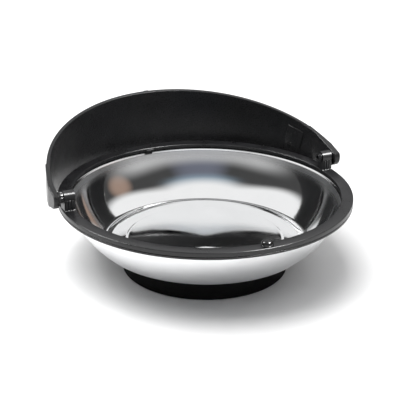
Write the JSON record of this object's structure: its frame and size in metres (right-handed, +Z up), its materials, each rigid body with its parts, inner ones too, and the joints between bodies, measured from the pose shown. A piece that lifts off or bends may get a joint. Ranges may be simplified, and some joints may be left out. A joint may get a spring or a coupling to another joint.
{
  "type": "magnetic parts tray",
  "caption": "Round stainless magnetic tray for small parts, with a black rim, a rubber-booted magnet base and a curved guard that swings over on two pins.",
  "frame": {"origin": "centre of the rubber base's sole, on the surface that the tray stands on", "axes": "+Z up; +X to the right along the guard's hinge axis; +Y to the back, where the guard stands"},
  "size_m": [0.1585, 0.1585, 0.0707],
  "materials": {
    "polished_steel": "polished",
    "plated_steel": "zinc plated",
    "rim_plastic": "satin",
    "guard_plastic": "fine moulded texture",
    "pin_plastic": "smooth moulded",
    "bumper_rubber": "glossy",
    "boot_rubber": "matte",
    "ferrite": "sintered",
    "pad_foam": "closed-cell foam"
  },
  "bodies": {
    "tray": {"bowl": "polished_steel", "rim_ring": "rim_plastic", "rim_clamp_ring": "rim_plastic", "bumper": "bumper_rubber", "base_boot": "boot_rubber", "magnet_pot": "plated_steel", "magnet_ring": "ferrite", "bowl_pad": "pad_foam", "weld_stud": "plated_steel", "flat_washer": "plated_steel", "lock_washer": "plated_steel", "stud_nut": "plated_steel"},
    "swing_guard": {"guard": "guard_plastic", "hinge_pin_left": "pin_plastic", "hinge_pin_right": "pin_plastic"}
  },
  "joints": [
    {"name": "guard_hinge", "type": "hinge", "parent": "tray", "child": "swing_guard", "pos_m": [0, 0.00476, 0.04732], "axis": [1, 0, 0], "range_deg": [-17, 165.2]}
  ]
}
